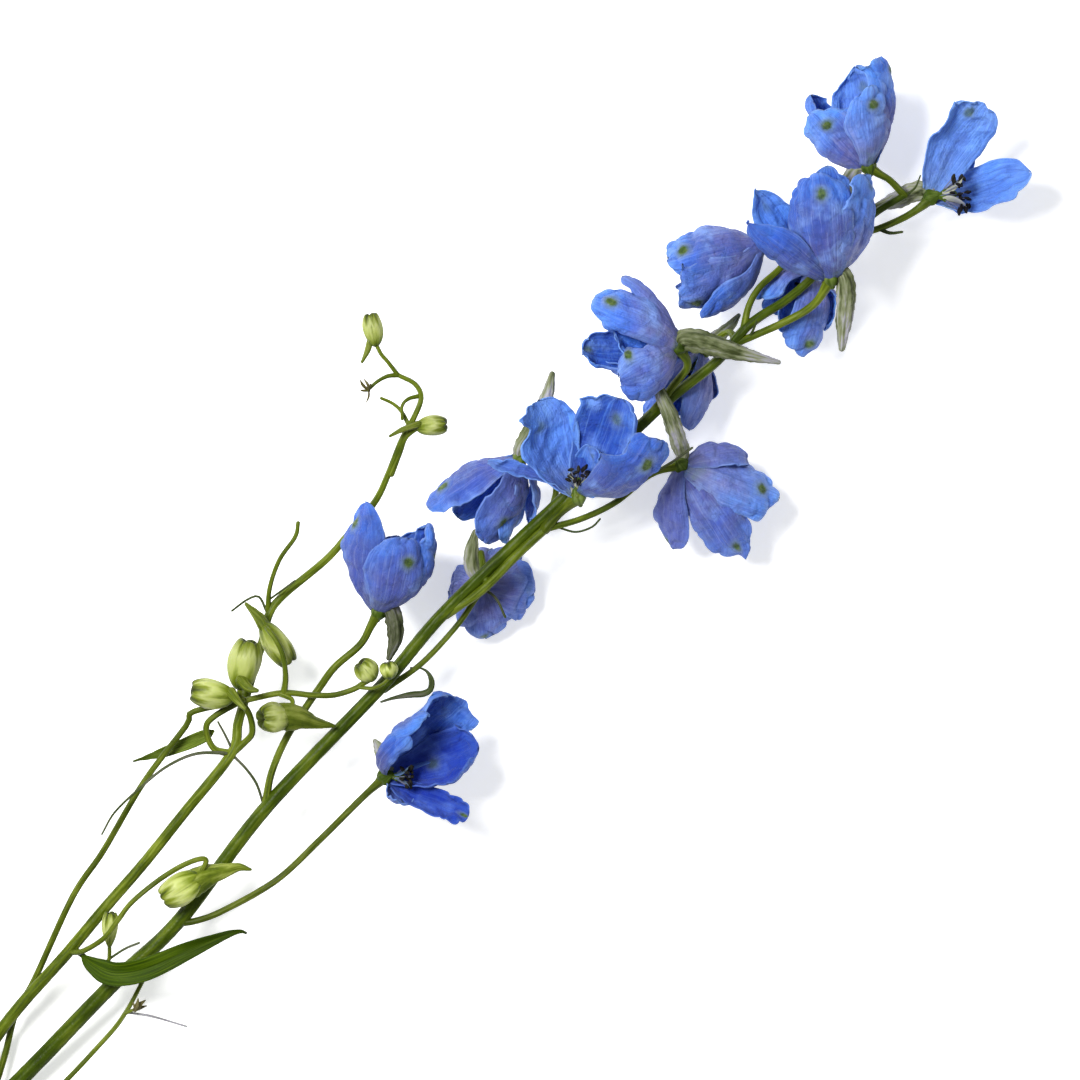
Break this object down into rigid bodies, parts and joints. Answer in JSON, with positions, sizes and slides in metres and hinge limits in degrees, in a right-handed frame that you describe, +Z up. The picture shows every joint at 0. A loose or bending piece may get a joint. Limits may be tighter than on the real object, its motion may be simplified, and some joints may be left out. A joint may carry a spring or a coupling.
{
  "type": "delphinium flower spike",
  "caption": "Cut delphinium spike lying down: branching green stem, cupped blue blooms with curved spurs toward the tip, and small buds, bracts and a lance-shaped leaf toward the cut end.",
  "frame": {"origin": "on the table under the middle of the bounding box", "axes": "+X along the stem from its cut end to the flowering tip, +Y to the left of the stem, +Z up from the table it lies on"},
  "size_m": [0.4351, 0.1238, 0.0503],
  "materials": {
    "sepals": "soft matte petal, lilac outside and sky blue inside",
    "eyes": "matte, dark stamens with cream inner petals",
    "stem": "satin fresh green skin with fine hairs",
    "buds": "satin yellow-green bud skin",
    "leaf": "satin leaf green",
    "bract": "satin light green"
  },
  "bodies": {
    "root": {"stem": "stem", "bloom_01": "sepals", "bloom_02": "sepals", "bloom_03": "sepals", "bloom_04": "sepals", "bloom_05": "sepals", "bloom_06": "sepals", "bloom_07": "sepals", "bloom_08": "sepals", "bloom_09": "sepals", "bloom_10": "sepals", "bloom_11": "sepals", "bloom_12": "sepals", "bloom_13": "sepals", "eye_01": "eyes", "eye_02": "eyes", "eye_03": "eyes", "eye_04": "eyes", "eye_05": "eyes", "eye_06": "eyes", "eye_07": "eyes", "eye_08": "eyes", "eye_09": "eyes", "eye_10": "eyes", "eye_11": "eyes", "eye_12": "eyes", "eye_13": "eyes", "bud_01": "buds", "bud_02": "buds", "bud_03": "buds", "bud_04": "buds", "bud_05": "buds", "bud_06": "buds", "bud_07": "buds", "bud_08": "buds", "bud_09": "buds", "bud_10": "buds", "bud_11": "buds", "bud_12": "buds", "leaf_01": "leaf", "leaf_02": "bract"}
  },
  "joints": []
}
